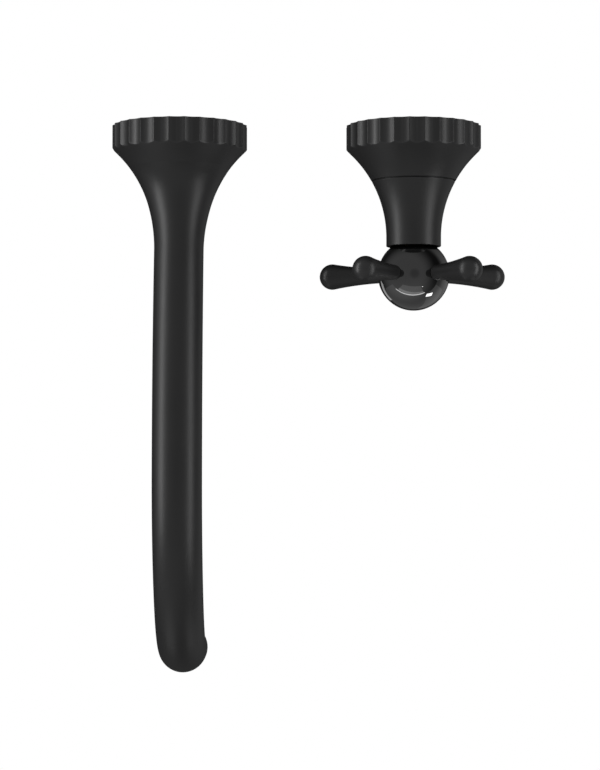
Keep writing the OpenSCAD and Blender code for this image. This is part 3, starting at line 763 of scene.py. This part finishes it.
class Finish:
    """A material under construction: its node tree, its Principled shader and its coordinates."""

    def __init__(self, **constants):
        self.material = bpy.data.materials.new("Finish")
        self.material.use_nodes = True
        self.tree = self.material.node_tree
        self.shader = self.tree.nodes["Principled BSDF"]
        self.place = self.node("ShaderNodeTexCoord").outputs["Object"]
        self.give(**constants)

    def node(self, kind, inputs=None, **settings):
        """A new node with its settings and inputs filled in."""
        made = self.tree.nodes.new(kind)
        for key, value in settings.items():
            setattr(made, key, value)
        for key, value in (inputs or {}).items():
            feed(self.tree, made.inputs[key], value)
        return made

    def give(self, **values):
        """Sets inputs of the shader, named in small letters with underscores for spaces."""
        names = {s.name.lower().replace(" ", "_"): s for s in self.shader.inputs}
        for key, value in values.items():
            feed(self.tree, names[key], opaque(value))

    def number(self, socket):
        return Value(self.tree, socket)

    def stretched(self, scale):
        """The object's coordinates, each multiplied by its own scale."""
        node = self.node("ShaderNodeVectorMath", operation="MULTIPLY")
        feed(self.tree, node.inputs[0], self.place)
        node.inputs[1].default_value = scale
        return node.outputs[0]

    def noise(self, size, detail=2.0, roughness=0.5, along=(1, 1, 1)):
        """Soft noise from 0 to 1, whose patches are a size in metres across."""
        scale = tuple(a / size for a in along)
        node = self.node("ShaderNodeTexNoise", {
            "Vector": self.stretched(scale), "Scale": 1.0, "Detail": detail,
            "Roughness": roughness})
        return self.number(node.outputs["Fac"])

    def cells(self, size):
        """Distance from the nearest of scattered points, which are a size in metres apart."""
        node = self.node("ShaderNodeTexVoronoi", {
            "Vector": self.stretched((1 / size,) * 3), "Scale": 1.0})
        return self.number(node.outputs["Distance"])

    def attribute(self, name):
        return self.number(self.node("ShaderNodeAttribute", attribute_name=name).outputs["Fac"])

    def axes(self):
        """The object's X, Y and Z as three numbers."""
        parts = self.node("ShaderNodeSeparateXYZ", {"Vector": self.place}).outputs
        return [self.number(p) for p in parts]

    def mixed(self, factor, low, high):
        """A colour between two, which are linear red, green and blue or sockets."""
        node = self.node("ShaderNodeMix", data_type="RGBA")
        feed(self.tree, node.inputs[0], factor)
        colours = [s for s in node.inputs if s.type == "RGBA"]
        feed(self.tree, colours[0], opaque(low))
        feed(self.tree, colours[1], opaque(high))
        return next(s for s in node.outputs if s.type == "RGBA")

    def bump(self, height, depth):
        """Raises the surface by a height from 0 to 1 times a depth in metres."""
        old = self.shader.inputs["Normal"].links
        node = self.node("ShaderNodeBump", {"Height": height, "Distance": depth, "Strength": 1.0})
        if old:
            feed(self.tree, node.inputs["Normal"], old[0].from_socket)
        self.give(normal=node.outputs["Normal"])


def scaled(colour, factor):
    """A colour made lighter or darker."""
    return tuple(min(1.0, c * factor) for c in colour)


def made_once(build):
    """The material that a function builds, made on its first call and found again afterwards.

    Its name is the function's in plain words, such as Satin black."""
    title = build.__name__.replace("_", " ").capitalize()

    def find():
        if title not in bpy.data.materials:
            build().name = title
        return bpy.data.materials[title]

    find.__doc__ = build.__doc__
    return find


@made_once
def satin_black():
    """Fine satin powder coat: faint mottling, a grain of tiny bumps, and edges rubbed smoother."""
    f = Finish(ior=1.5, specular_ior_level=0.5)
    colour = tuple(finishes().satin)
    wear = f.attribute("wear")
    broad, fine = f.noise(14 * MM, 3.0), f.noise(0.35 * MM, 3.0, 0.6)
    tone = f.mixed(broad, scaled(colour, 0.82), scaled(colour, 1.18))
    tone = f.mixed((fine - 0.5) * 0.6 + 0.3, tone, scaled(colour, 1.5))
    f.give(base_color=f.mixed(wear * (0.25 + broad * 0.35), tone, scaled(colour, 2.6)),
           roughness=0.39 + broad * 0.05 + (fine - 0.5) * 0.10 - wear * 0.06)
    f.bump(f.noise(2.6 * MM, 1.0), 0.006 * MM)
    f.bump(fine + f.cells(0.45 * MM) * 0.5, 0.004 * MM)
    return f.material


@made_once
def gloss_black():
    """Black mirror polish: hairline polishing marks and a trace of haze."""
    f = Finish(ior=1.9)
    colour = tuple(finishes().gloss)
    haze, marks = f.noise(6 * MM, 2.0), f.noise(0.25 * MM, 2.0, 0.6, (1, 12, 1))
    f.give(base_color=f.mixed(haze, scaled(colour, 0.8), scaled(colour, 1.3)),
           roughness=0.02 + haze * 0.015 + marks.above(0.68, 0.1) * 0.02)
    f.bump(marks, 0.0006 * MM)
    f.bump(f.noise(7 * MM, 1.0), 0.004 * MM)
    return f.material


def machined(colour, dark, roughness, along, ring):
    """Turned metal: rings left by the tool along one axis, patches of tarnish and grey spots."""
    f = Finish(metallic=1.0)
    rings = f.noise(ring, 2.0, 0.7, along)
    patches, spots = f.noise(9 * MM, 4.0, 0.6), f.cells(1.1 * MM).above(0.12, 0.1)
    tone = f.mixed(patches.above(0.52, 0.3) * 0.7, colour, dark)
    f.give(base_color=f.mixed(0.25 - spots * 0.25, tone, scaled(dark, 0.6)),
           roughness=roughness + rings * 0.14 + patches * 0.1)
    f.bump(rings, 0.010 * MM)
    return f.material


@made_once
def brass():
    """Machined brass, turned about the axis that leaves the wall."""
    return machined(tuple(finishes().brass), (0.42, 0.27, 0.11), 0.20, (0.02, 1, 0.02), 0.22 * MM)


@made_once
def steel():
    """Bright stainless steel with fine turning marks."""
    return machined(tuple(finishes().steel), (0.36, 0.36, 0.37), 0.18, (1, 0.3, 1), 0.18 * MM)


@made_once
def woven_steel():
    """A screen woven from fine steel wire: two crossing rows of rounded ridges over dark gaps."""
    f = Finish(metallic=1.0)
    x, y, _ = f.axes()
    turn = FULL_TURN / (1.1 * MM)
    over = (x * turn).sin() * (y * turn).sin()
    wires = ((x * (turn / 2)).sin() ** 2).larger((y * (turn / 2)).sin() ** 2)
    # painted shade: the gaps between the wires get a near-black colour for the darkness seen
    # through the screen's openings
    painted_gap_shade = (0.012, 0.012, 0.012)
    f.give(base_color=f.mixed(wires.above(0.55, 0.3), painted_gap_shade, tuple(finishes().steel)),
           roughness=0.45 - wires * 0.2)
    f.bump(wires + over * 0.3, 0.15 * MM)
    return f.material


@made_once
def rubber():
    """Moulded rubber: dull, with a dusty bloom and a fine grain."""
    f = Finish(specular_ior_level=0.35)
    colour = tuple(finishes().rubber)
    bloom, grain = f.noise(5 * MM, 4.0, 0.6), f.noise(0.3 * MM, 3.0, 0.7)
    f.give(base_color=f.mixed(bloom.above(0.5, 0.4), colour, scaled(colour, 2.2)),
           roughness=0.62 + grain * 0.2)
    f.bump(grain, 0.012 * MM)
    return f.material


@made_once
def ceramic():
    """Lapped alumina: nearly white, lightly clouded, with faint specks and a silky shine."""
    f = Finish(ior=1.76)
    colour = tuple(finishes().ceramic)
    specks, cloud = f.cells(0.7 * MM), f.noise(4 * MM, 3.0)
    stain = cloud * (1 - specks.above(0.15, 0.1)) + 0.05
    f.give(base_color=f.mixed(stain, colour, scaled(colour, 0.72)), roughness=0.16 + cloud * 0.12)
    f.bump(f.noise(0.2 * MM), 0.002 * MM)
    return f.material


@made_once
def fibre():
    """Pressed red fibre: matted strands, dull and slightly furry."""
    f = Finish(specular_ior_level=0.3)
    colour = tuple(finishes().fibre)
    strands = (f.noise(0.25 * MM, 4.0, 0.7, (1, 0.25, 1)) * 0.6
               + f.noise(0.3 * MM, 4.0, 0.7, (0.25, 1, 1)) * 0.4)
    f.give(base_color=f.mixed(strands.above(0.5, 0.3), scaled(colour, 0.55), scaled(colour, 1.35)),
           roughness=0.75 + strands * 0.15)
    f.bump(strands, 0.05 * MM)
    return f.material


@made_once
def pale_plastic():
    """Moulded acetal: milky, waxy, with flow marks and a fine surface grain."""
    f = Finish(subsurface_weight=0.15, subsurface_scale=1 * MM)
    colour = tuple(finishes().plastic)
    flow, grain = f.noise(5 * MM, 2.0, 0.5, (1, 1, 0.3)), f.noise(0.25 * MM, 2.0)
    f.give(base_color=f.mixed(flow, scaled(colour, 0.88), colour),
           roughness=0.34 + flow * 0.12 + grain * 0.06)
    f.bump(grain, 0.006 * MM)
    return f.material


class FAUCET_OT_fittings(bpy.types.Operator):
    """Give every fitting of the frame that stays shown the finish of its material slot."""

    bl_idname = "faucet.fittings"
    bl_label = "Fittings"

    def execute(self, context):
        made = {"satin_black": satin_black, "gloss_black": gloss_black, "brass": brass,
                "steel": steel, "rubber": rubber, "fibre": fibre, "ceramic": ceramic,
                "pale_plastic": pale_plastic}
        for row in frame["record"]["subparts"]:
            node = frame["nodes"][row["node"]]
            finish = woven_steel if row["node"] == "aerator_screen" else made[row["material_slot"]]
            for place in node.material_slots:
                place.material = finish()
        return {"FINISHED"}


# ---------------------------------------------------------------- studio

TO_WALL, UPRIGHT = (0, 1, 0), (0, 0, 1)


def facing(place, target, up=TO_WALL):
    """The turn of a camera or light at a place that looks at a target, with up kept upright."""
    back = (Vector(place) - Vector(target)).normalized()
    right = Vector(up).cross(back).normalized()
    return Matrix((right, back.cross(right), back)).transposed().to_quaternion()


def area_light(name, place, target, width, height, power, up, on_ball):
    """A rectangular soft box that faces a target and that the camera itself doesn't see.

    Its height runs along up. The polished ball has lights of its own, because it mirrors them
    sharply: a light shines on the ball alone, or on everything else."""
    data = bpy.data.lights.new(name, "AREA")
    data.shape, data.size, data.size_y, data.energy = "RECTANGLE", width, height, power
    light = bpy.data.objects.new(name, data)
    light.location = place
    light.rotation_mode = "QUATERNION"
    light.rotation_quaternion = facing(place, target, up)
    light.visible_camera = False
    bpy.context.scene.collection.objects.link(light)
    linked = bpy.data.collections.new(name)
    linked.objects.link(bpy.data.objects["ball_shell"])
    light.light_linking.receiver_collection = linked
    linked.collection_objects[0].light_linking.link_state = "INCLUDE" if on_ball else "EXCLUDE"


def world():
    """White where the camera sees past the faucet. For the light that falls on it, the sky is dim
    overhead, towards the left, in front and low on the right, with the darker spot of the camera
    straight above, and fades to nearly black elsewhere."""
    made = bpy.data.worlds.new("Studio")
    made.use_nodes = True
    tree = made.node_tree
    tree.nodes.clear()
    white, sky = tree.nodes.new("ShaderNodeBackground"), tree.nodes.new("ShaderNodeBackground")
    for background in (white, sky):
        background.inputs["Color"].default_value = (1, 1, 1, 1)
    ray = tree.nodes.new("ShaderNodeTexCoord").outputs["Generated"]
    parts = tree.nodes.new("ShaderNodeSeparateXYZ")
    tree.links.new(ray, parts.inputs["Vector"])
    x, y, z = (Value(tree, p) for p in parts.outputs)
    overhead = z * 0.866 - x * 0.5  # 30 degrees to the left of straight up
    lens = z.above(0.97, 0.06)
    feed(tree, sky.inputs["Strength"],
         studio().floor_glow + studio().fill * overhead.above(0.15, 0.9) * (1 - lens * 0.35)
         + studio().front_glow * (0 - y).above(0.5, 1.0)
         + studio().side_glow * x.above(0.5, 0.6) * (0 - z).above(0.25, 0.4))
    seen, mix = tree.nodes.new("ShaderNodeLightPath"), tree.nodes.new("ShaderNodeMixShader")
    out = tree.nodes.new("ShaderNodeOutputWorld")
    tree.links.new(seen.outputs["Is Camera Ray"], mix.inputs["Fac"])
    tree.links.new(sky.outputs[0], mix.inputs[1])
    tree.links.new(white.outputs[0], mix.inputs[2])
    tree.links.new(mix.outputs[0], out.inputs["Surface"])
    return made


class FAUCET_OT_studio(bpy.types.Operator):
    """Set up the camera, the lights and the white surroundings."""

    bl_idname = "faucet.studio"
    bl_label = "Studio"

    def execute(self, context):
        s, scene = studio(), context.scene
        data = bpy.data.cameras.new("Camera")
        data.lens, data.sensor_fit, data.sensor_width = s.lens, "AUTO", SENSOR_WIDTH
        camera = bpy.data.objects.new("Camera", data)
        camera.location = s.camera_place
        camera.rotation_mode = "QUATERNION"
        camera.rotation_quaternion = facing(s.camera_place, s.camera_target)
        scene.collection.objects.link(camera)
        scene.camera = camera
        centre, ball = Vector((VALVE_X / 2, 0, 0)), Vector((VALVE_X, -BALL_S, 0))
        for name, place, size, power in (
                ("Left box", (-1.0, 0.20, 0.28), (0.30, 1.35), s.left_power),
                ("Right box", (0.8, -0.1, 0.38), (0.30, 1.35), s.right_power)):
            target = centre + Vector((0, place[1], 0))
            area_light(name, centre + Vector(place), target, *size, power, TO_WALL, False)
        for name, x in (("Front left", -0.42), ("Front right", 0.42)):
            place = centre + Vector((x, -0.95, -0.15))
            area_light(name, place, centre, 0.35, 0.5, s.flare_power, UPRIGHT, False)
        for name, place, size, power, up in (
                ("Ball strip", (-0.28, -0.8, 0.235), (1.5, 0.05), s.strip_power, (-0.085, 0, 1)),
                ("Ball glow", (-0.22, -0.8, 0.345), (1.27, 0.17), s.glow_power, UPRIGHT),
                ("Ball haze", (-0.22, -0.8, 0.585), (1.27, 0.63), s.haze_power, UPRIGHT),
                ("Ball front", (0, -0.8, -0.60), (3.6, 1.6), s.front_power, UPRIGHT)):
            place = ball + Vector(place)
            area_light(name, place, place + Vector(TO_WALL), *size, power, up, True)
        for name, place, size, power, up in (
                ("Ball right", (0.80, -0.5, -0.5), (1.3, 1.5), s.side_power, UPRIGHT),
                ("Ball window", (0.55, -0.71, -0.006), (0.15, 0.27), s.window_power,
                 (-0.6, -0.49, 0.62)),
                ("Ball glint", (0.37, -0.58, 0.58), (0.03, 0.03), s.glint_power, UPRIGHT),
                ("Ball rim", (-0.29, -0.145, -0.385), (0.12, 0.24), s.rim_power,
                 (0.69, -0.69, -0.23))):
            area_light(name, ball + Vector(place), ball, *size, power, up, True)
        for piece in bpy.data.objects:  # the ball doesn't mirror the spout
            if piece.name.startswith(("spout_", "aerator_", "connector_")):
                piece.visible_glossy = False
        scene.world = world()
        scene.view_settings.view_transform = "Standard"
        scene.view_settings.look = "None"
        return {"FINISHED"}


# ---------------------------------------------------------------- add-on

STEPS = (FAUCET_OT_spout, FAUCET_OT_bell, FAUCET_OT_sleeve, FAUCET_OT_ball, FAUCET_OT_arms,
         FAUCET_OT_fittings, FAUCET_OT_studio)


class FAUCET_PT_panel(bpy.types.Panel):
    """Sidebar panel with the faucet's building steps and its settings."""

    bl_idname = "FAUCET_PT_panel"
    bl_label = "Wall mounted bath faucet"
    bl_space_type = "VIEW_3D"
    bl_region_type = "UI"
    bl_category = "Faucet"

    def draw(self, context):
        for step in STEPS:
            self.layout.operator(step.bl_idname)
        for group in (sizes(), finishes(), studio()):
            box = self.layout.box()
            for name in group.__annotations__:
                box.prop(group, name)


CLASSES = (FaucetSizes, FaucetFinishes, StudioSettings, *STEPS, FAUCET_PT_panel)


def register():
    for cls in CLASSES:
        bpy.utils.register_class(cls)
    bpy.types.Scene.faucet_sizes = PointerProperty(type=FaucetSizes)
    bpy.types.Scene.faucet_finishes = PointerProperty(type=FaucetFinishes)
    bpy.types.Scene.faucet_studio = PointerProperty(type=StudioSettings)


def unregister():
    del bpy.types.Scene.faucet_studio
    del bpy.types.Scene.faucet_finishes
    del bpy.types.Scene.faucet_sizes
    for cls in reversed(CLASSES):
        bpy.utils.unregister_class(cls)


def main():
    """Builds the shells, the finishes and the studio, and writes both boxes."""
    register()
    bpy.ops.faucet.spout()
    bpy.ops.faucet.bell()
    bpy.ops.faucet.sleeve()
    bpy.ops.faucet.ball()
    bpy.ops.faucet.arms()
    bpy.ops.faucet.fittings()
    bpy.ops.faucet.studio()


if __name__ == "__main__":
    main()
